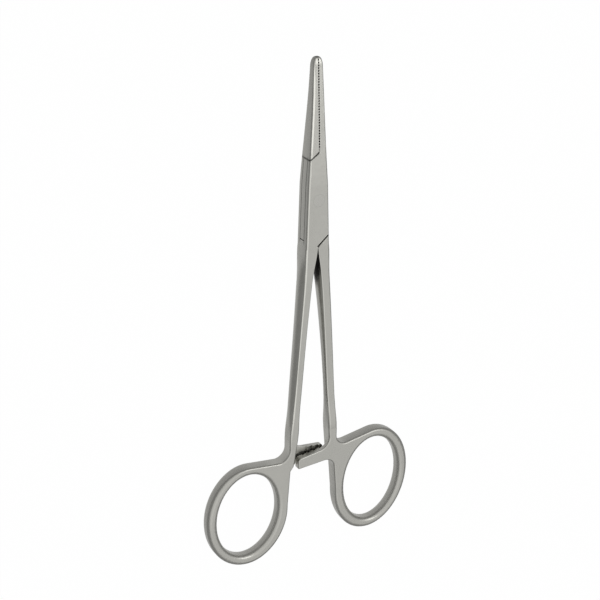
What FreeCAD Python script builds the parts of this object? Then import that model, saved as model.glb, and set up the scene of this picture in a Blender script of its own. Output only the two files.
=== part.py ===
import FreeCAD, Part
import math
import os

from collections import namedtuple
from FreeCAD import Vector

os.makedirs("parts", exist_ok=True)

# Straight hemostat forceps lying flat: X across the jaws, Y from the rings to the tips, Z up.
# The origin is on the pivot axis, at the underside of the box lock.

# Lengths along the instrument, from the pivot
jaw_length = 36.5
lock_head = 12.7
lock_tail = 12.5
shank_length = 55.5

# Overall width of the closed jaws and lock, from the tip to the crotch of the shanks
nose_width = 2.75
mid_jaw_width = 3.65
jaw_root_width = 4.95
lock_head_width = 5.78
tail_width = 6.8
lock_head_lean = 0.15

# Thickness of the jaws and lock
nose_thickness = 2.1
mid_jaw_thickness = 3.3
jaw_root_thickness = 4.5
lock_thickness = 4.9

# Places of the measured widths, as distances from the pivot
lock_flat_head = 4.0
jaw_root_y = 10.5
mid_jaw_y = 23.0
nose_y = 33.9

# Tip dome and the rounding of the long edges
nose_end_width = 1.0
nose_end_thickness = 0.9
edge_round = 0.58
nose_edge_round = 0.42

# Jaw faces and their cross serrations
jaw_gap = 0.08
serration_pitch = 0.68
serration_depth = 0.27
serration_width = 0.5
serrated_length = 23.0
serration_tip_margin = 0.6

# Box lock: two plates of the box arm over the tongue of the other arm
tongue_thickness = 1.85
tongue_clearance = 0.04
slot_radius = 11.4
slot_end_gap = 0.3
head_shoulder_angle = 35.0
tail_shoulder_angle = 40.0
head_shoulder_gap = 0.12
tail_shoulder_gap = 0.35
seam_chamfer = 0.16

# Pivot rivet, flared at both ends and ground flush
rivet_radius = 1.3
rivet_clearance = 0.03
rivet_flare = 0.35

# Shanks: the box arm's is the stouter and straighter; spread is from the middle to the handle end
box_shank_spread = 5.74
box_shank_bow = 0.02
box_shank_width = 2.6
box_shank_thickness = 3.9
box_waist_place = 0.55
tongue_shank_spread = 6.35
tongue_shank_bow = 0.4
tongue_shank_width = 2.62
tongue_shank_thickness = 2.25
tongue_waist_place = 0.75
shank_round = 0.3
shank_side_sweep = 42.0
sweep_margin = 0.2
crotch_edge_round = 0.04
waist_power = 1.5
inner_round_place = 0.3
shank_joint_step = 0.02

# Handles: flat web and finger ring
handle_thickness = 3.5
box_ring_x = 19.7
tongue_ring_x = 19.55
ring_centre_drop = 19.85
box_hole_length = 25.05
tongue_hole_length = 26.05
box_hole_width = 18.6
tongue_hole_width = 17.9
box_hole_lift = 0.38
tongue_hole_lift = 0.16
ring_band = 2.9
ring_end_band = 2.7
ring_lean = 4.5
ring_fullness = 0.97
web_round = 0.5
ring_top_angle = 100.0
ring_side_angle = 184.0
ring_fade_angle = 60.0
crotch_round = 3.0
web_throat_x = 5.75
web_side_x = 6.75
web_throat_drop = 8.2
web_step_drop = 1.3
web_throat_round = 0.9

# Ratchet bars, one on the front half of its handle and one on the back half
front_bar_drop = 5.2
front_bar_root_height = 3.8
back_bar_drop = 3.8
back_bar_root_height = 4.9
bar_end_height = 3.1
bar_top_tilt = 7.0
bar_reach = 4.4
bar_round = 0.3
bar_tip_round = 1.1
bar_corner_round = 0.35
bar_root_round = 3.2
bar_gap = 0.1
tooth_pitch = 1.75
tooth_depth = 0.5
tooth_count = 3
first_tooth_x = 2.75

# Each arm's shank and handle; side is -1 on the left and 1 on the right
Leg = namedtuple("Leg", [
    "side", "spread", "bow", "width", "thickness", "waist_place",
    "ring_x", "hole_width", "hole_length", "hole_lift", "bar_drop", "bar_root_height",
])
box_leg = Leg(
    side=-1,
    spread=box_shank_spread,
    bow=box_shank_bow,
    width=box_shank_width,
    thickness=box_shank_thickness,
    waist_place=box_waist_place,
    ring_x=box_ring_x,
    hole_width=box_hole_width,
    hole_length=box_hole_length,
    hole_lift=box_hole_lift,
    bar_drop=back_bar_drop,
    bar_root_height=back_bar_root_height,
)
tongue_leg = Leg(
    side=1,
    spread=tongue_shank_spread,
    bow=tongue_shank_bow,
    width=tongue_shank_width,
    thickness=tongue_shank_thickness,
    waist_place=tongue_waist_place,
    ring_x=tongue_ring_x,
    hole_width=tongue_hole_width,
    hole_length=tongue_hole_length,
    hole_lift=tongue_hole_lift,
    bar_drop=front_bar_drop,
    bar_root_height=front_bar_root_height,
)

# Derived places
mid_z = lock_thickness / 2
ring_round = ring_fullness * (ring_end_band - max(box_hole_lift, tongue_hole_lift)) / 2
half_handle = handle_thickness / 2
crotch_y = -lock_tail
handle_y = crotch_y - shank_length
ring_y = handle_y - ring_centre_drop
reach = 2 * (jaw_length + shank_length)


def smooth(t):
    """Ease from 0 to 1 with level ends."""
    t = min(max(t, 0.0), 1.0)
    return t * t * (3 - 2 * t)


def prism(points, half):
    """A straight-sided solid over a plan outline, reaching half either way from the middle plane."""
    plan = [Vector(x, y, mid_z - half) for x, y in points]
    face = Part.Face(Part.makePolygon(plan + plan[:1]))
    return face.extrude(Vector(0, 0, 2 * half))


def section(y, x_low, x_high, half, round_low, round_high, sweep=0.0):
    """A rounded rectangle across the instrument at y; sweep, in degrees, bulges its two sides."""
    corners = [
        (x_high, 1, 1, round_high, sweep, 90.0),
        (x_low, -1, 1, round_low, 90.0, 180.0 - sweep),
        (x_low, -1, -1, round_low, 180.0 + sweep, 270.0),
        (x_high, 1, -1, round_high, 270.0, 360.0 - sweep),
    ]
    arcs = []
    for x, out, up, radius, start, end in corners:
        bulge = (half - radius) * math.tan(math.radians(sweep / 2))
        centre_x = x - out * (radius + bulge / 2)
        centre_z = mid_z + up * (half - radius)
        points = []
        for turn in (start, (start + end) / 2, end):
            angle = math.radians(turn)
            points.append(Vector(centre_x + radius * math.cos(angle), y, centre_z + radius * math.sin(angle)))
        arcs.append((points, Vector(x + out * bulge / 2, y, mid_z)))
    edges = []
    for index, (points, side_middle) in enumerate(arcs):
        following = arcs[(index + 1) % 4][0]
        edges.append(Part.Arc(*points).toShape())
        if sweep > 0 and index % 2:
            edges.append(Part.Arc(points[2], side_middle, following[0]).toShape())
        else:
            edges.append(Part.LineSegment(points[2], following[0]).toShape())
    return Part.Wire(edges)


def centred(y, width, thickness, radius, lean=0.0):
    """A section as wide on both sides of the middle, or leaning to the left by a little."""
    return section(y, -width / 2 - lean, width / 2 - lean, thickness / 2, radius, radius)


def closed_pair():
    """The closed jaws and box lock as one body, before it is shared between the arms."""
    tail = centred(crotch_y, tail_width, lock_thickness, edge_round)
    head = centred(lock_flat_head, lock_head_width, lock_thickness, edge_round, lock_head_lean)
    lock = Part.makeLoft([tail, head], True, True)
    jaws = Part.makeLoft([
        head,
        centred(jaw_root_y, jaw_root_width, jaw_root_thickness, edge_round, lock_head_lean),
        centred(mid_jaw_y, mid_jaw_width, mid_jaw_thickness, edge_round),
        centred(nose_y, nose_width, nose_thickness, nose_edge_round),
    ], True, False)
    rings = []
    steps = 5
    for step in range(steps + 1):
        angle = math.radians(90.0 * step / steps)
        fall = 1 - math.cos(angle)
        rings.append(centred(
            nose_y + (jaw_length - nose_y) * math.sin(angle),
            nose_width - (nose_width - nose_end_width) * fall,
            nose_thickness - (nose_thickness - nose_end_thickness) * fall,
            nose_edge_round,
        ))
    dome = Part.makeLoft(rings, True, False)
    return lock.fuse([jaws, dome])


def shank(leg):
    """One shank from the crotch of the lock to its handle."""
    start_width = (tail_width - jaw_gap) / 2
    start_centre = (tail_width + jaw_gap) / 4
    wires = []
    steps = 9
    for step in range(steps + 1):
        t = step / steps
        run = (1 + leg.bow) * t - leg.bow * t * t
        centre = start_centre + (leg.spread - start_centre) * run
        slim = 1 - (1 - min(t / leg.waist_place, 1)) ** waist_power
        fill = smooth((t - leg.waist_place) / (1 - leg.waist_place))
        span = start_width + (leg.width - start_width) * slim
        depth = lock_thickness + (leg.thickness - lock_thickness) * slim
        depth += (handle_thickness - leg.thickness) * fill
        outer = edge_round + (shank_round - edge_round) * slim + (web_round - shank_round) * fill
        inner = crotch_edge_round + (shank_round - crotch_edge_round) * smooth(t / inner_round_place)
        inner += (web_round - shank_round) * fill
        swell = smooth(t / sweep_margin) * smooth((1 - t) / sweep_margin)
        sweep = shank_side_sweep * swell
        span -= 2 * shank_joint_step * t
        depth -= 2 * shank_joint_step * t
        near = centre - span / 2
        far = centre + span / 2
        y = crotch_y - shank_length * t
        if leg.side > 0:
            wires.append(section(y, near, far, depth / 2, inner, outer, sweep))
        else:
            wires.append(section(y, -far, -near, depth / 2, outer, inner, sweep))
    return Part.makeLoft(wires, True, False)


def turn_corner(before, corner, after, radius):
    """Start, middle and end of the arc that rounds a corner of a plan outline."""
    into = (before - corner).normalize()
    out = (after - corner).normalize()
    half_angle = into.getAngle(out) / 2
    setback = radius / math.tan(half_angle)
    bisector = (into + out).normalize()
    centre = corner + bisector * (radius / math.sin(half_angle))
    return corner + into * setback, centre - bisector * radius, corner + out * setback


def ring_point(centre, angle, half_width, half_length, lean=0.0):
    """A point of a ring's ellipse, leaning outwards at the top; angle 0 is away from the other ring."""
    turn = math.radians(angle)
    tilt = math.radians(lean)
    x = half_width * math.cos(turn)
    y = half_length * math.sin(turn)
    return centre + Vector(x * math.cos(tilt) + y * math.sin(tilt), y * math.cos(tilt) - x * math.sin(tilt), 0)


def ring_arc(centre, start, end, half_width, half_length, lean=0.0):
    """A stretch of a ring's ellipse between two angles."""
    top = ring_point(centre, 90.0, half_width, half_length, lean)
    side = ring_point(centre, 180.0, half_width, half_length, lean)
    ellipse = Part.Ellipse(top, side, centre)
    return Part.ArcOfEllipse(ellipse, math.radians(start - 90.0), math.radians(end - 90.0)).toShape()


def line(start, end):
    """A straight edge of a plan outline."""
    return Part.LineSegment(start, end).toShape()


def arc(points):
    """The edge of a rounded corner, from its three points."""
    return Part.Arc(*points).toShape()


def handle_outline(leg, with_bar):
    """Edges of one half of a handle with their edge rounding at start and end, on the right-hand side."""
    centre = Vector(leg.ring_x, ring_y, 0)
    half_width = leg.hole_width / 2 + ring_band
    half_length = leg.hole_length / 2 + ring_end_band
    near = leg.spread - leg.width / 2
    far = leg.spread + leg.width / 2
    inner_top = Vector(near, handle_y, 0)
    outer_top = Vector(far, handle_y, 0)
    side_tangent = ring_point(centre, ring_side_angle, half_width, half_length, ring_lean)
    top_tangent = ring_point(centre, ring_top_angle, half_width, half_length, ring_lean)
    throat = Vector(web_throat_x, handle_y - web_throat_drop, 0)
    trace = []
    if with_bar:
        bar_y = handle_y - leg.bar_drop
        slope = math.tan(math.radians(bar_top_tilt))
        side_slope = (throat.x - near) / (inner_top.y - throat.y)
        root_top = Vector(near + side_slope * leg.bar_drop, bar_y, 0)
        end_top = Vector(-bar_reach, bar_y - slope * (root_top.x + bar_reach), 0)
        end_low = Vector(-bar_reach, end_top.y - bar_end_height, 0)
        root_low = Vector(web_side_x, bar_y - leg.bar_root_height, 0)
        corners = [
            (root_top, bar_root_round),
            (end_top, bar_tip_round),
            (end_low, bar_corner_round),
            (root_low, bar_root_round),
        ]
        edge_rounds = [web_round, bar_round, bar_round, bar_round, web_round]
    else:
        step = Vector(web_side_x, throat.y - web_step_drop, 0)
        corners = [(throat, web_throat_round), (step, web_throat_round)]
        edge_rounds = [web_round, web_round, web_round]
    nodes = [inner_top] + [corner for corner, radius in corners] + [side_tangent]
    start = inner_top
    for index, (corner, radius) in enumerate(corners):
        points = turn_corner(nodes[index], corner, nodes[index + 2], radius)
        before = edge_rounds[index]
        after = edge_rounds[index + 1]
        trace.append((line(start, points[0]), before, before))
        trace.append((arc(points), before, after))
        start = points[2]
    trace.append((line(start, side_tangent), web_round, web_round))
    fade_in = ring_side_angle + ring_fade_angle
    fade_out = ring_top_angle + 360.0 - ring_fade_angle
    ring_top = ring_top_angle + 360.0
    for start, end, first, last in (
        (ring_side_angle, fade_in, web_round, ring_round),
        (fade_in, fade_out, ring_round, ring_round),
        (fade_out, ring_top, ring_round, web_round),
    ):
        trace.append((ring_arc(centre, start, end, half_width, half_length, ring_lean), first, last))
    along = ring_point(Vector(0, 0, 0), ring_top_angle + 90.0, half_width, half_length, ring_lean)
    crotch = top_tangent + along * ((far - top_tangent.x) / along.x)
    points = turn_corner(top_tangent, crotch, outer_top, crotch_round)
    trace.append((line(top_tangent, points[0]), web_round, web_round))
    trace.append((arc(points), web_round, web_round))
    trace.append((line(points[2], outer_top), web_round, web_round))
    trace.append((line(outer_top, inner_top), 0.0, 0.0))
    return trace


def round_edges(solid, rounding):
    """Round edges of a solid; rounding holds a midpoint, a start point and the two end radii of each."""
    document = FreeCAD.newDocument()
    base = document.addObject("Part::Feature", "base")
    base.Shape = solid
    chosen = []
    for number, edge in enumerate(base.Shape.Edges, 1):
        middle = edge.valueAt((edge.FirstParameter + edge.LastParameter) / 2)
        for place, start, first, last in rounding:
            if middle.distanceToPoint(place) < 1e-4:
                if edge.Vertexes[0].Point.distanceToPoint(start) > 1e-4:
                    first, last = last, first
                chosen.append((number, first, last))
    fillet = document.addObject("Part::Fillet", "fillet")
    fillet.Base = base
    fillet.Edges = chosen
    document.recompute()
    shape = fillet.Shape.copy()
    FreeCAD.closeDocument(document.Name)
    return shape


def handle_half(leg, front, with_bar):
    """The front or back half of a handle, its outer face rounded over towards its edges."""
    hole_centre = Vector(leg.ring_x, ring_y + leg.hole_lift, 0)
    half_width = leg.hole_width / 2
    half_length = leg.hole_length / 2
    trace = handle_outline(leg, with_bar)
    trace.append((ring_arc(hole_centre, 90.0, 270.0, half_width, half_length), ring_round, ring_round))
    trace.append((ring_arc(hole_centre, 270.0, 450.0, half_width, half_length), ring_round, ring_round))
    outline = Part.Wire([edge for edge, first, last in trace[:-2]])
    opening = Part.Wire([edge for edge, first, last in trace[-2:]])
    plate = Part.Face(outline).extrude(Vector(0, 0, half_handle))
    plate = plate.cut(Part.Face(opening).extrude(Vector(0, 0, half_handle)))
    rounding = []
    lift = Vector(0, 0, half_handle)
    for edge, first, last in trace:
        if first > 0:
            middle = edge.valueAt((edge.FirstParameter + edge.LastParameter) / 2)
            rounding.append((middle + lift, edge.Vertexes[0].Point + lift, first, last))
    half = round_edges(plate, rounding)
    if not front:
        half = half.mirror(Vector(0, 0, 0), Vector(0, 0, 1))
    if leg.side < 0:
        half = half.mirror(Vector(0, 0, 0), Vector(1, 0, 0))
    half.translate(Vector(0, 0, mid_z))
    return half


def ratchet_cut(leg):
    """What is cut from a bar to leave its teeth: the front bar on the right, the back bar on the left."""
    crest = bar_gap / 2
    root = crest + tooth_depth
    last_tooth_x = first_tooth_x - tooth_pitch * (tooth_count - 1)
    mirror_x = first_tooth_x + last_tooth_x + bar_gap
    recess_x = leg.spread - leg.width / 2
    if leg.side < 0:
        recess_x += mirror_x
    points = [(-reach, -half_handle), (-reach, crest), (last_tooth_x - tooth_pitch, crest)]
    points.append((last_tooth_x - tooth_pitch, root))
    for index in reversed(range(tooth_count)):
        place = first_tooth_x - tooth_pitch * index
        points.append((place, crest))
        points.append((place, root))
    points.append((recess_x, root))
    points.append((recess_x, -half_handle))
    if leg.side < 0:
        points = [(mirror_x - x, -z) for x, z in points]
    plan = [Vector(x, handle_y, mid_z + z) for x, z in points]
    face = Part.Face(Part.makePolygon(plan + plan[:1]))
    return face.extrude(Vector(0, -ring_centre_drop, 0))


def handle(leg):
    """Web, finger ring and ratchet bar; the right handle has its bar in front, the left one behind."""
    bar_in_front = leg.side > 0
    front = handle_half(leg, True, bar_in_front)
    back = handle_half(leg, False, not bar_in_front)
    if bar_in_front:
        front = front.cut(ratchet_cut(leg))
    else:
        back = back.cut(ratchet_cut(leg))
    return front.fuse(back)


def head_shoulder(x, offset):
    """Y of the slanting end of the plates towards the jaws, moved across itself by offset."""
    angle = math.radians(head_shoulder_angle)
    return lock_head + x * math.tan(angle) + offset / math.cos(angle)


def tail_shoulder(x, offset):
    """Y of the slanting end of the plates towards the shanks, moved across itself by offset."""
    angle = math.radians(tail_shoulder_angle)
    return -lock_tail + x * math.tan(angle) + offset / math.cos(angle)


def tongue_side(gap, head_offset, tail_offset, radius, half_tongue):
    """The share of the closed pair that belongs to the tongue arm, grown by the given offsets."""
    wide = tail_width
    jaw = prism([
        (gap, head_shoulder(gap, head_offset)),
        (gap, reach),
        (-wide, reach),
        (-wide, head_shoulder(-wide, head_offset)),
    ], lock_thickness)
    heel = prism([
        (-gap, tail_shoulder(-gap, tail_offset)),
        (-gap, -reach),
        (wide, -reach),
        (wide, tail_shoulder(wide, tail_offset)),
    ], lock_thickness)
    upper = prism([(gap, 0), (gap, reach), (-wide, reach), (-wide, 0)], half_tongue)
    lower = prism([(-gap, 0), (-gap, -reach), (wide, -reach), (wide, 0)], half_tongue)
    disc = Part.makeCylinder(radius, 2 * half_tongue, Vector(0, 0, mid_z - half_tongue))
    return jaw.fuse([heel, upper, lower, disc])


def serrations(side):
    """The comb of V grooves across the gripping face of one jaw."""
    face = side * jaw_gap / 2
    start = jaw_length - serration_tip_margin
    points = [(-side * serration_depth, start + serration_pitch), (face, start + serration_pitch)]
    for index in range(int(serrated_length / serration_pitch)):
        y = start - serration_pitch * index
        points.append((face, y + serration_width / 2))
        points.append((face + side * serration_depth, y))
        points.append((face, y - serration_width / 2))
    points.append((-side * serration_depth, points[-1][1]))
    return prism(points, lock_thickness)


def seam_groove(body, start, end, gap, front):
    """The chamfers along a seam of the lock, as a V groove laid on the front or back face."""
    half = gap / 2 + seam_chamfer
    line_ends = []
    for x, y in (start, end):
        probe = Part.makeLine(Vector(x, y, -lock_thickness), Vector(x, y, 2 * lock_thickness)).common(body)
        z = probe.BoundBox.ZMax if front else probe.BoundBox.ZMin
        line_ends.append(Vector(x, y, z))
    along = (line_ends[1] - line_ends[0]).normalize()
    outward = Vector(0, 0, 1 if front else -1)
    across = along.cross(outward).normalize()
    first = line_ends[0] - along * half
    last = line_ends[1] + along * tail_width
    corners = [
        first - across * 2 * half + outward * half,
        first - outward * half,
        first + across * 2 * half + outward * half,
    ]
    face = Part.Face(Part.makePolygon(corners + corners[:1]))
    return face.extrude(last - first)


def lock_seams(body):
    """All four chamfered seams of the lock."""
    head_start = (0.0, lock_head)
    side_x = jaw_root_width / 2 + lock_head_lean - edge_round
    head_end = (-side_x, head_shoulder(-side_x, 0))
    tail_start = (0.0, -lock_tail)
    side_x = tail_width / 2 - edge_round
    tail_end = (side_x, tail_shoulder(side_x, 0))
    grooves = []
    for front in (True, False):
        grooves.append(seam_groove(body, head_start, head_end, head_shoulder_gap, front))
        grooves.append(seam_groove(body, tail_start, tail_end, tail_shoulder_gap, front))
    return grooves


def rivet():
    """The pivot rivet, flush with both faces of the lock and flared into both plates."""
    flared = rivet_radius + rivet_flare
    profile = [
        (0, 0),
        (flared, 0),
        (rivet_radius, rivet_flare),
        (rivet_radius, lock_thickness - rivet_flare),
        (flared, lock_thickness),
        (0, lock_thickness),
    ]
    points = [Vector(x, 0, z) for x, z in profile]
    face = Part.Face(Part.makePolygon(points + points[:1]))
    return face.revolve(Vector(0, 0, 0), Vector(0, 0, 1), 360)


def box_arm(pair, seams):
    """Right jaw, both lock plates, left shank and left handle, in one forged piece."""
    half_slot = tongue_thickness / 2 + tongue_clearance
    other = tongue_side(jaw_gap / 2, -head_shoulder_gap / 2, tail_shoulder_gap / 2, slot_radius, half_slot)
    upper = pair.cut(other).cut(seams + [serrations(1)])
    return upper.fuse([shank(box_leg), handle(box_leg)]).cut(rivet())


def tongue_arm(pair, seams):
    """Left jaw, tongue, right shank and right handle, in one forged piece."""
    radius = slot_radius - slot_end_gap
    half = tongue_thickness / 2
    own = tongue_side(-jaw_gap / 2, head_shoulder_gap / 2, -tail_shoulder_gap / 2, radius, half)
    upper = pair.common(own).cut(seams + [serrations(-1)])
    bore = Part.makeCylinder(rivet_radius + rivet_clearance, lock_thickness)
    return upper.fuse([shank(tongue_leg), handle(tongue_leg)]).cut(bore)


pair = closed_pair()
seams = lock_seams(pair)
pieces = {
    "box_arm": box_arm(pair, seams),
    "tongue_arm": tongue_arm(pair, seams),
    "pivot_rivet": rivet(),
}
for name, shape in pieces.items():
    print(name, shape.isValid(), round(shape.Volume, 2), len(shape.Solids), len(shape.Faces))
    shape.exportStep("parts/%s.step" % name)
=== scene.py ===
import math

import bpy
from bpy.props import FloatProperty, FloatVectorProperty, PointerProperty
from bpy.types import Operator, Panel, PropertyGroup
from mathutils import Matrix, Vector

bl_info = {
    "name": "Locking Forceps",
    "version": (1, 0, 0),
    "blender": (4, 5, 0),
    "location": "View3D > Sidebar > Forceps",
    "description": "Finishes straight locking forceps in satin steel and sets up a plain studio",
    "category": "Object",
}

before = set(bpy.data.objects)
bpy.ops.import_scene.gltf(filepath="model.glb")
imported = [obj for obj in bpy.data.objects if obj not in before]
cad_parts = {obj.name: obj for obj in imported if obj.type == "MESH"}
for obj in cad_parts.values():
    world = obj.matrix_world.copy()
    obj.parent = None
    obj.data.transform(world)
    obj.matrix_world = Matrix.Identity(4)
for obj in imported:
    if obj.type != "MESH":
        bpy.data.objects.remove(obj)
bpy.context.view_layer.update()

MM_PER_M = 1000.0

# Places on the forceps in millimetres, from the pivot axis at the underside of the lock.
# Each seam of the lock has its place along the middle line and its slant in degrees.
HEAD_SEAM = (12.7, 35.0)
TAIL_SEAM = (-12.5, 40.0)
RIVET_RIM = 1.65
RIVET_CLEAR = 0.5
SLOT_EDGES = (1.485, 3.415)
SLOT_HALF_LENGTH = 11.5
SLOT_WALL_FROM = 2.2
SERRATION_START = 12.9
GROOVE_FROM, GROOVE_TO = 0.1, 0.36
CROTCH_HALF_WIDTH = 2.0
CROTCH_END = -27.0
# Stretch along the arms, in millimetres, whose rounded long edges get a painted highlight
HIGHLIGHT_FROM, HIGHLIGHT_TO = -66.0, 34.0

# Distances in metres that the shaders look or reach over
CROTCH_REACH = 0.0022
FLOOR_REACH = 0.005
EDGE_RADIUS = 0.00022
GRAIN_HEIGHT = 0.000004

# Colour and added roughness of the painted shade in the lock's seams, serrations, slot edges and
# crotch, and of the dark joint round the rivet
SHADE_AND_JOINT_COLOUR = (0.025, 0.024, 0.022)
SHADE_AND_JOINT_MATT = 0.25
# How strongly the bevel finds edges, and how much lighter the edges are made, partly as wear and
# partly as painted highlight
EDGE_GAIN = 13.0
EDGE_LIGHTER = 2.2
TONE_RANGE = 0.2
BUMP_STRENGTH = 0.35
WHITE = (1.0, 1.0, 1.0, 1.0)

# The two sets of stray scratches: the turn of each in degrees, and how rare it is
SCRATCH_SETS = ((24.0, 0.69), (-38.0, 0.7))

# The studio, with places and lengths in metres and the camera's sensor in millimetres
STUDIO_MIDDLE = (0.0, -0.035, 0.002)
LEFT_SOFTBOX_PLACE = (-0.084, -0.287, 0.54)
BACK_SOFTBOX_PLACE = (0.283, 0.073, 0.518)
FLOOR_DROP = 0.00002
CARD_RADIUS = 0.42
CARD_HEIGHT = 0.26
CARD_SIDES = 64
CAMERA_SENSOR = 36.0
CAMERA_NEAREST = 0.01


class Value:
    """A number from a shader node, so that shader maths reads as ordinary arithmetic."""

    def __init__(self, tree, socket):
        self.tree = tree
        self.socket = socket

    def maths(self, operation, *others, clamp=False):
        """Adds a Math node that takes this value first."""
        node = self.tree.nodes.new("ShaderNodeMath")
        node.operation = operation
        node.use_clamp = clamp
        for place, item in enumerate((self,) + others):
            if isinstance(item, Value):
                self.tree.links.new(item.socket, node.inputs[place])
            else:
                node.inputs[place].default_value = item
        return Value(self.tree, node.outputs[0])

    def __add__(self, other):
        return self.maths("ADD", other)

    __radd__ = __add__

    def __mul__(self, other):
        return self.maths("MULTIPLY", other)

    def __sub__(self, other):
        return self.maths("SUBTRACT", other)

    def __rsub__(self, other):
        return self.maths("MULTIPLY", -1.0) + other

    def __truediv__(self, other):
        return self.maths("DIVIDE", other)

    def __pow__(self, other):
        return self.maths("POWER", other)

    def __abs__(self):
        return self.maths("ABSOLUTE")

    def clamped(self):
        """The value held between 0 and 1."""
        return self.maths("ADD", 0.0, clamp=True)

    def most(self, other):
        """The larger of two values."""
        return self.maths("MAXIMUM", other)

    def below(self, limit, soft):
        """1 where the value is under the limit, easing to 0 over the given width."""
        return ((self * -1.0 + limit) / soft + 0.5).clamped()

    def above(self, limit, soft):
        """1 where the value is over the limit, easing to 0 over the given width."""
        return ((self - limit) / soft + 0.5).clamped()


class Finish:
    """The node tree of a material or of the room, cleared and built up node by node."""

    def __init__(self, owner):
        owner.use_nodes = True
        self.owner = owner
        self.tree = owner.node_tree
        self.tree.nodes.clear()

    def node(self, kind, settings=None, **inputs):
        """Adds a node, sets it up and fills its inputs, named or given as i0, i1 and so on."""
        node = self.tree.nodes.new(kind)
        for name, setting in (settings or {}).items():
            setattr(node, name, setting)
        for name, item in inputs.items():
            numbered = name[0] == "i" and name[1:].isdigit()
            socket = node.inputs[int(name[1:]) if numbered else name.replace("_", " ")]
            if isinstance(item, Value):
                self.tree.links.new(item.socket, socket)
            elif hasattr(item, "is_output"):
                self.tree.links.new(item, socket)
            else:
                socket.default_value = item
        return node

    def place(self):
        """The position on the piece in millimetres, as a vector and as its three values."""
        coordinates = self.node("ShaderNodeTexCoord").outputs["Object"]
        scaled = self.node(
            "ShaderNodeVectorMath", {"operation": "SCALE"}, i0=coordinates, Scale=MM_PER_M
        )
        parts = self.node("ShaderNodeSeparateXYZ", i0=scaled.outputs[0])
        return scaled.outputs[0], [Value(self.tree, output) for output in parts.outputs]

    def level(self):
        """1 on faces that lie flat, and 0 on walls that stand upright."""
        normal = self.node("ShaderNodeNewGeometry").outputs["Normal"]
        parts = self.node("ShaderNodeSeparateXYZ", i0=normal)
        return abs(Value(self.tree, parts.outputs[2]))

    def stretched(self, vector, scale, turn=(0.0, 0.0, 0.0)):
        """The vector turned and scaled differently along each axis."""
        mapping = self.node("ShaderNodeMapping", {"vector_type": "POINT"}, Vector=vector)
        mapping.inputs["Rotation"].default_value = turn
        mapping.inputs["Scale"].default_value = scale
        return mapping.outputs[0]

    def noise(self, vector, scale, detail=2.0, roughness=0.5):
        """Soft noise between about 0.2 and 0.8."""
        node = self.node(
            "ShaderNodeTexNoise", Vector=vector, Scale=scale, Detail=detail, Roughness=roughness
        )
        return Value(self.tree, node.outputs[0])

    def tint(self, first, second, factor):
        """A colour between two colours."""
        node = self.node("ShaderNodeMix", {"data_type": "RGBA"}, i0=factor)
        for place, colour in ((6, first), (7, second)):
            if hasattr(colour, "is_output"):
                self.tree.links.new(colour, node.inputs[place])
            else:
                node.inputs[place].default_value = (*colour, 1.0)
        return node.outputs[2]


def scratches(finish, place, turn, threshold):
    """Thin stray scratches, as a value that is 1 in a scratch."""
    vector = finish.stretched(place, (7.0, 0.22, 7.0), turn)
    return finish.noise(vector, 1.0, 1.0).above(threshold, 0.03)


def seam_shade(x, y):
    """Painted shade in and beside the seams of the lock: 1 there, and 0 away from them."""
    painted_shade_and_joints = None
    for (start, angle), side in ((HEAD_SEAM, -1.0), (TAIL_SEAM, 1.0)):
        turn = math.radians(angle)
        across = abs(y - x * math.tan(turn) - start) * math.cos(turn)
        open_end = abs(x).below(1.0, 1.2) * 0.12
        seam = across.below(open_end + 0.17, 0.26) * (x * side).above(0.0, 0.3)
        painted_shade_and_joints = seam if painted_shade_and_joints is None else painted_shade_and_joints.most(seam)
    return painted_shade_and_joints


def slot_shade(x, y, z, upright):
    """Painted shade on the lock's side walls, 1 along both edges of the slot."""
    beside = abs(x).above(SLOT_WALL_FROM, 0.3) * abs(y).below(SLOT_HALF_LENGTH, 1.0)
    low, high = (abs(z - edge).below(0.14, 0.1) for edge in SLOT_EDGES)
    return low.most(high) * beside * upright * 0.8


def crotch_shade(finish, x, y, upright):
    """How far the inner walls of the crotch lie hidden between the closed shanks."""
    opening = finish.node("ShaderNodeAmbientOcclusion", {"samples": 8}, Distance=CROTCH_REACH)
    hidden = ((0.92 - Value(finish.tree, opening.outputs["AO"])) / 0.35).clamped()
    inner = hidden * abs(x).below(CROTCH_HALF_WIDTH, 1.2)
    return inner * y.below(TAIL_SEAM[0], 0.2) * y.above(CROTCH_END, 9.0) * upright * 1.4


def rivet_ring(radius):
    """A faint ring where the ground rivet meets the box."""
    return abs(radius - RIVET_RIM).below(0.05, 0.1) * 0.2


def off_rivet(radius):
    """1 away from the rivet, whose edge is ground flush and is given no lighter edge."""
    return radius.above(RIVET_RIM + RIVET_CLEAR, 0.2)


def painted_round_highlights(x, y, level):
    """Painted highlight along the rounded long edges: most on the jaws, a little more on the left
    half, not at all on the rings.
    """
    rounded = level.above(0.72, 0.1) * level.below(0.975, 0.02)
    rounded = rounded * y.above(HIGHLIGHT_FROM, 8.0) * y.below(HIGHLIGHT_TO, 2.0)
    return rounded * (x.below(0.0, 1.0) * 0.15 + y.above(HEAD_SEAM[0], 4.0) * 0.5 + 0.18)


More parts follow.
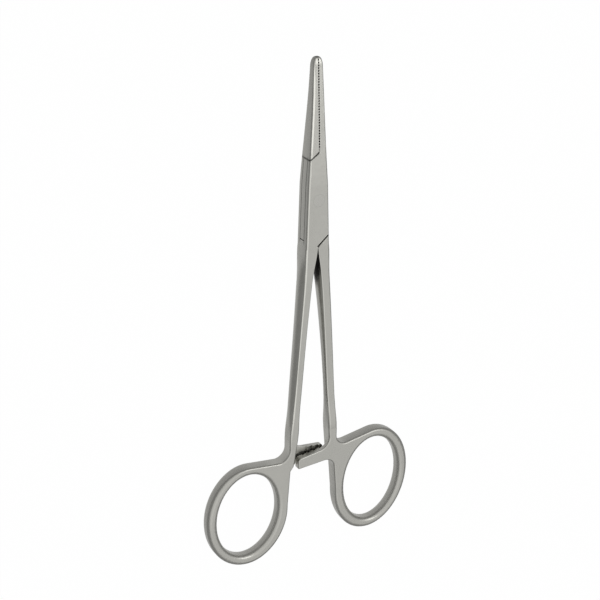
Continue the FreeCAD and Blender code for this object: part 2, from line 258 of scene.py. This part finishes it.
def polish(steel, colour, roughness, place, painted_shade_and_joints, wear_and_highlight, round_highlights):
    """Satin polish over a forging, with fine grain, stray scratches, painted shade with dark
    joints, and edges lightened partly as wear and partly as painted highlight.
    """
    # The noise has one patch in about 9 mm, 1 mm and 0.15 mm, and the grain runs along the arms
    cloud = steel.noise(place, 0.11, 3.0, 0.55)
    mottle = steel.noise(place, 0.9, 3.0, 0.6)
    speckle = steel.noise(place, 7.0, 2.0, 0.5)
    grain = steel.noise(steel.stretched(place, (9.0, 0.5, 9.0)), 1.0, 3.0, 0.65)
    first, second = (
        scratches(steel, place, (0.0, 0.0, math.radians(turn)), rarity)
        for turn, rarity in SCRATCH_SETS
    )
    scratch = first.most(second)

    # Edges found by the bevel are lightened, partly as wear and partly as painted highlight
    bevelled = steel.node("ShaderNodeBevel", {"samples": 4}, Radius=EDGE_RADIUS)
    normal = steel.node("ShaderNodeNewGeometry").outputs["Normal"]
    alike = steel.node(
        "ShaderNodeVectorMath", {"operation": "DOT_PRODUCT"}, i0=bevelled.outputs[0], i1=normal
    )
    bent = ((1.0 - Value(steel.tree, alike.outputs["Value"])) * EDGE_GAIN).clamped()
    edge = (wear_and_highlight * bent).most(round_highlights)

    tone = (cloud - 0.5) * 0.34 + (mottle - 0.5) * 0.2
    tone = tone + (speckle - 0.5) * 0.08 + (grain - 0.5) * 0.1 + 0.5
    dark, light, bright = (
        [min(channel * share, 1.0) for channel in colour]
        for share in (1.0 - TONE_RANGE, 1.0 + TONE_RANGE, EDGE_LIGHTER)
    )
    shade = steel.tint(dark, light, tone.clamped())
    shade = steel.tint(shade, bright, edge)
    # Painted shade in the lock's seams, serrations, slot edges and crotch, and the dark joint round
    # the rivet
    shade = steel.tint(shade, SHADE_AND_JOINT_COLOUR, (painted_shade_and_joints * (0.5 + mottle * 0.7)).clamped())

    rough = roughness + (cloud - 0.5) * 0.1 + (mottle - 0.5) * 0.12 + (grain - 0.5) * 0.1
    rough = rough + painted_shade_and_joints * SHADE_AND_JOINT_MATT - edge * 0.12 + scratch * 0.06
    height = grain * 0.5 + speckle * 0.3 + mottle * 0.8 - scratch * 0.5
    bump = steel.node(
        "ShaderNodeBump", Strength=BUMP_STRENGTH, Distance=GRAIN_HEIGHT, Height=height
    )
    shader = steel.node(
        "ShaderNodeBsdfPrincipled",
        Base_Color=shade,
        Roughness=rough.clamped(),
        Metallic=1.0,
        Normal=bump.outputs[0],
    )
    steel.node("ShaderNodeOutputMaterial", Surface=shader.outputs[0])
    return steel.owner


class ForcepsSteel(PropertyGroup):
    """Finish of the two forged arms and the rivet."""

    arm_colour: FloatVectorProperty(
        name="Arm colour",
        description="Colour of the satin steel of both arms",
        subtype="COLOR",
        size=3,
        min=0.0,
        max=1.0,
        default=(0.418, 0.414, 0.385),
    )
    arm_roughness: FloatProperty(
        name="Arm roughness",
        description="How matt the satin finish of the arms is",
        min=0.05,
        max=1.0,
        subtype="FACTOR",
        default=0.3,
    )
    rivet_colour: FloatVectorProperty(
        name="Rivet colour",
        description="Colour of the ground rivet",
        subtype="COLOR",
        size=3,
        min=0.0,
        max=1.0,
        default=(0.418, 0.414, 0.388),
    )
    rivet_roughness: FloatProperty(
        name="Rivet roughness",
        description="How matt the ground end of the rivet is",
        min=0.05,
        max=1.0,
        subtype="FACTOR",
        default=0.27,
    )
    # Edge lightening, partly as wear and partly as painted highlight
    edge_wear_and_highlight: FloatProperty(
        name="Edge wear",
        description="How brightly the edges are rubbed",
        min=0.0,
        max=1.0,
        subtype="FACTOR",
        default=0.55,
    )


class ForcepsStudio(PropertyGroup):
    """Floor, lights and camera."""

    floor_size: FloatProperty(
        name="Floor size",
        description="Length of each side of the floor",
        unit="LENGTH",
        min=0.5,
        default=6.0,
    )
    floor_colour: FloatVectorProperty(
        name="Floor colour",
        description="Colour of the plain floor",
        subtype="COLOR",
        size=3,
        min=0.0,
        max=1.0,
        default=(0.82, 0.82, 0.82),
    )
    floor_white: FloatProperty(
        name="Floor white",
        description="How far the floor shows as plain white to the camera",
        min=0.0,
        max=1.0,
        subtype="FACTOR",
        default=0.99,
    )
    # Painted glow of the floor in the steel, near the forceps and, in the next setting, far from it
    floor_near: FloatProperty(
        name="Mirrored floor, near",
        description="Brightness in the steel of the floor close to the forceps",
        min=0.0,
        max=1.0,
        subtype="FACTOR",
        default=0.8,
    )
    floor_far: FloatProperty(
        name="Mirrored floor, far",
        description="Brightness in the steel of the floor away from the forceps",
        min=0.0,
        max=1.0,
        subtype="FACTOR",
        default=0.4,
    )
    room_light: FloatProperty(
        name="Room light",
        description="Brightness of the soft light from all round",
        min=0.0,
        default=0.65,
    )
    left_power: FloatProperty(
        name="Left softbox power",
        description="Power of the soft lamp over the left ring",
        unit="POWER",
        min=0.0,
        default=0.04,
    )
    back_power: FloatProperty(
        name="Back softbox power",
        description="Power of the soft lamp beyond the right shank",
        unit="POWER",
        min=0.0,
        default=0.34,
    )
    softbox_size: FloatProperty(
        name="Softbox size",
        description="Length of each side of the soft lamps",
        unit="LENGTH",
        min=0.05,
        default=0.26,
    )
    # Strength of the band's painted glow, in place of grey card
    card_glow_strength: FloatProperty(
        name="Card shade",
        description="Grey of the band of card that stands around the forceps",
        min=0.0,
        max=1.0,
        subtype="FACTOR",
        default=0.41,
    )
    camera_place: FloatVectorProperty(
        name="Camera place",
        description="Where the camera stands",
        subtype="TRANSLATION",
        unit="LENGTH",
        size=3,
        default=(-0.19299, 0.15084, 0.31594),
    )
    camera_across: FloatVectorProperty(
        name="Camera across",
        description="Direction towards the right of the picture",
        subtype="DIRECTION",
        size=3,
        default=(0.85919, 0.01299, 0.51148),
    )
    camera_upward: FloatVectorProperty(
        name="Camera upward",
        description="Direction towards the top of the picture",
        subtype="DIRECTION",
        size=3,
        default=(0.21402, 0.89887, -0.38239),
    )
    camera_lens: FloatProperty(
        name="Camera lens",
        description="Focal length on a 36 mm sensor",
        subtype="DISTANCE_CAMERA",
        min=20.0,
        default=95.37,
    )


class FORCEPS_OT_arms(Operator):
    """Finishes both forged arms in satin steel"""

    bl_idname = "forceps.arms"
    bl_label = "Arms"

    def execute(self, context):
        steel = context.scene.forceps_steel
        finish = Finish(bpy.data.materials.new("satin_steel"))
        place, (x, y, z) = finish.place()
        level = finish.level()
        upright = level.below(0.6, 0.3)
        # Painted shade in the serration grooves and along the line where the jaws meet
        groove_shade = abs(x).above(GROOVE_FROM, 0.08) * abs(x).below(GROOVE_TO, 0.06) * upright
        jaw_line_shade = abs(x).below(0.18, 0.16) * level.above(0.8, 0.2) * 0.6
        serration_shade = groove_shade.most(jaw_line_shade) * y.above(SERRATION_START, 0.6)
        walls = slot_shade(x, y, z, upright).most(crotch_shade(finish, x, y, upright))
        radius = (x * x + y * y) ** 0.5
        # Painted shade in the seams, serrations, slot edges and crotch, with the dark joint round
        # the rivet
        painted_shade_and_joints = seam_shade(x, y).most(serration_shade).most(walls).most(rivet_ring(radius))
        # Painted highlight: edges on the jaws are lightened half as much again
        jaws = y.above(HEAD_SEAM[0], 4.0) * 0.5 + 1.0
        wear_and_highlight = off_rivet(radius) * jaws * steel.edge_wear_and_highlight
        round_highlights = painted_round_highlights(x, y, level)
        material = polish(
            finish, steel.arm_colour, steel.arm_roughness, place, painted_shade_and_joints, wear_and_highlight, round_highlights
        )
        for name in ("box_arm", "tongue_arm"):
            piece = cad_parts[name]
            for slot in piece.material_slots:
                slot.material = material
        return {"FINISHED"}


class FORCEPS_OT_rivet(Operator):
    """Finishes the rivet that was ground flush with the lock"""

    bl_idname = "forceps.rivet"
    bl_label = "Rivet"

    def execute(self, context):
        steel = context.scene.forceps_steel
        finish = Finish(bpy.data.materials.new("ground_rivet_steel"))
        place, (x, y, _) = finish.place()
        radius = (x * x + y * y) ** 0.5
        ring, wear_and_highlight = rivet_ring(radius), off_rivet(radius) * steel.edge_wear_and_highlight
        material = polish(
            finish, steel.rivet_colour, steel.rivet_roughness, place, ring, wear_and_highlight, 0.0
        )
        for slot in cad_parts["pivot_rivet"].material_slots:
            slot.material = material
        return {"FINISHED"}


def ray_kinds(finish):
    """1 for rays from the camera, and 1 for rays in reflections and through glass."""
    path = finish.node("ShaderNodeLightPath")
    camera, glossy, transmitted = (
        Value(finish.tree, path.outputs[name])
        for name in ("Is Camera Ray", "Is Glossy Ray", "Is Transmission Ray")
    )
    return camera, glossy.most(transmitted)


def lay_floor(studio):
    """A plain floor that shows white to the camera and keeps the shadow, and that shows in the
    steel as a painted glow, brighter close to the forceps.
    """
    bpy.ops.object.select_all(action="DESELECT")
    bpy.ops.mesh.primitive_plane_add(size=studio.floor_size, location=(0.0, 0.0, -FLOOR_DROP))
    floor = bpy.context.object
    floor.name = "floor"
    bpy.ops.object.transform_apply(location=True, rotation=True, scale=True)
    finish = Finish(bpy.data.materials.new("plain_floor"))
    matt = finish.node("ShaderNodeBsdfDiffuse", Color=(*studio.floor_colour, 1.0))
    camera, mirrored = ray_kinds(finish)
    # Painted glow: in reflections the floor glows brighter where its ambient occlusion finds the
    # forceps close by
    opening = finish.node("ShaderNodeAmbientOcclusion", {"samples": 6}, Distance=FLOOR_REACH)
    near = ((1.0 - Value(finish.tree, opening.outputs["AO"])) / 0.3).clamped()
    far_glow, near_glow, white = (
        finish.node("ShaderNodeEmission", Color=WHITE, Strength=strength).outputs[0]
        for strength in (studio.floor_far, studio.floor_near, 1.0)
    )
    surface = matt.outputs[0]
    glow = finish.node("ShaderNodeMixShader", i0=near, i1=far_glow, i2=near_glow).outputs[0]
    for factor, shader in ((mirrored, glow), (camera * studio.floor_white, white)):
        surface = finish.node("ShaderNodeMixShader", i0=factor, i1=surface, i2=shader).outputs[0]
    finish.node("ShaderNodeOutputMaterial", Surface=surface)
    floor.data.materials.append(finish.owner)


def set_room(studio):
    """Soft light from all round, in front of a white background."""
    world = bpy.context.scene.world or bpy.data.worlds.new("room")
    bpy.context.scene.world = world
    room = Finish(world)
    lit, white = (
        room.node("ShaderNodeBackground", Color=WHITE, Strength=strength).outputs[0]
        for strength in (studio.room_light, 1.0)
    )
    camera, mirrored = ray_kinds(room)
    mix = room.node("ShaderNodeMixShader", i0=camera.most(mirrored), i1=lit, i2=white)
    room.node("ShaderNodeOutputWorld", Surface=mix.outputs[0])


def facing(place, target):
    """The turn that makes a lamp at a place face a target."""
    return (Vector(target) - Vector(place)).to_track_quat("-Z", "Y").to_euler()


def hang_lamp(name, place, target, size, power):
    """A square soft lamp."""
    bpy.ops.object.select_all(action="DESELECT")
    bpy.ops.object.light_add(type="AREA", location=place, rotation=facing(place, target))
    lamp = bpy.context.object
    lamp.name = name
    lamp.data.shape = "SQUARE"
    lamp.data.size = size
    lamp.data.energy = power
    lamp.visible_camera = False


def stand_card(radius, height, shade):
    """A band of grey card around the forceps, made to glow dim grey in place of lit card, which the
    steel mirrors along its rounded edges.
    """
    bpy.ops.object.select_all(action="DESELECT")
    bpy.ops.mesh.primitive_cylinder_add(
        vertices=CARD_SIDES,
        radius=radius,
        depth=height,
        end_fill_type="NOTHING",
        location=(*STUDIO_MIDDLE[:2], height / 2),
    )
    card = bpy.context.object
    card.name = "card_band"
    bpy.ops.object.transform_apply(location=True, rotation=True, scale=True)
    card.visible_camera = False
    card.visible_shadow = False
    card.visible_diffuse = False
    finish = Finish(bpy.data.materials.new("grey_card"))
    # Painted glow in place of lit grey card
    card_glow = finish.node("ShaderNodeEmission", Color=WHITE, Strength=shade)
    finish.node("ShaderNodeOutputMaterial", Surface=card_glow.outputs[0])
    card.data.materials.append(finish.owner)


class FORCEPS_OT_studio(Operator):
    """Lays the floor and sets the lights, the band of card and the camera"""

    bl_idname = "forceps.studio"
    bl_label = "Studio"

    def execute(self, context):
        studio = context.scene.forceps_studio
        scene = context.scene
        scene.view_settings.view_transform = "Standard"
        lay_floor(studio)
        set_room(studio)
        for name, place, power in (
            ("left_softbox", LEFT_SOFTBOX_PLACE, studio.left_power),
            ("back_softbox", BACK_SOFTBOX_PLACE, studio.back_power),
        ):
            hang_lamp(name, place, STUDIO_MIDDLE, studio.softbox_size, power)
        stand_card(CARD_RADIUS, CARD_HEIGHT, studio.card_glow_strength)
        across = Vector(studio.camera_across).normalized()
        upward = Vector(studio.camera_upward)
        upward = (upward - across * upward.dot(across)).normalized()
        back = across.cross(upward)
        turn = Matrix((across, upward, back)).transposed()
        bpy.ops.object.camera_add(location=studio.camera_place, rotation=turn.to_euler())
        camera = context.object
        camera.name = "camera"
        camera.data.sensor_width = CAMERA_SENSOR
        camera.data.lens = studio.camera_lens
        camera.data.clip_start = CAMERA_NEAREST
        scene.camera = camera
        return {"FINISHED"}


class FORCEPS_PT_panel(Panel):
    """The steps that finish the forceps, in order"""

    bl_idname = "FORCEPS_PT_panel"
    bl_label = "Forceps"
    bl_space_type = "VIEW_3D"
    bl_region_type = "UI"
    bl_category = "Forceps"

    def draw(self, context):
        layout = self.layout
        for settings in (context.scene.forceps_steel, context.scene.forceps_studio):
            column = layout.column()
            for name in settings.__annotations__:
                column.prop(settings, name)
        for step in STEPS:
            layout.operator(step.bl_idname)


STEPS = (FORCEPS_OT_arms, FORCEPS_OT_rivet, FORCEPS_OT_studio)
CLASSES = (ForcepsSteel, ForcepsStudio) + STEPS + (FORCEPS_PT_panel,)


def register():
    for item in CLASSES:
        bpy.utils.register_class(item)
    bpy.types.Scene.forceps_steel = PointerProperty(type=ForcepsSteel)
    bpy.types.Scene.forceps_studio = PointerProperty(type=ForcepsStudio)


def unregister():
    del bpy.types.Scene.forceps_studio
    del bpy.types.Scene.forceps_steel
    for item in reversed(CLASSES):
        bpy.utils.unregister_class(item)


def main():
    register()
    bpy.ops.forceps.arms()
    bpy.ops.forceps.rivet()
    bpy.ops.forceps.studio()


if __name__ == "__main__":
    main()
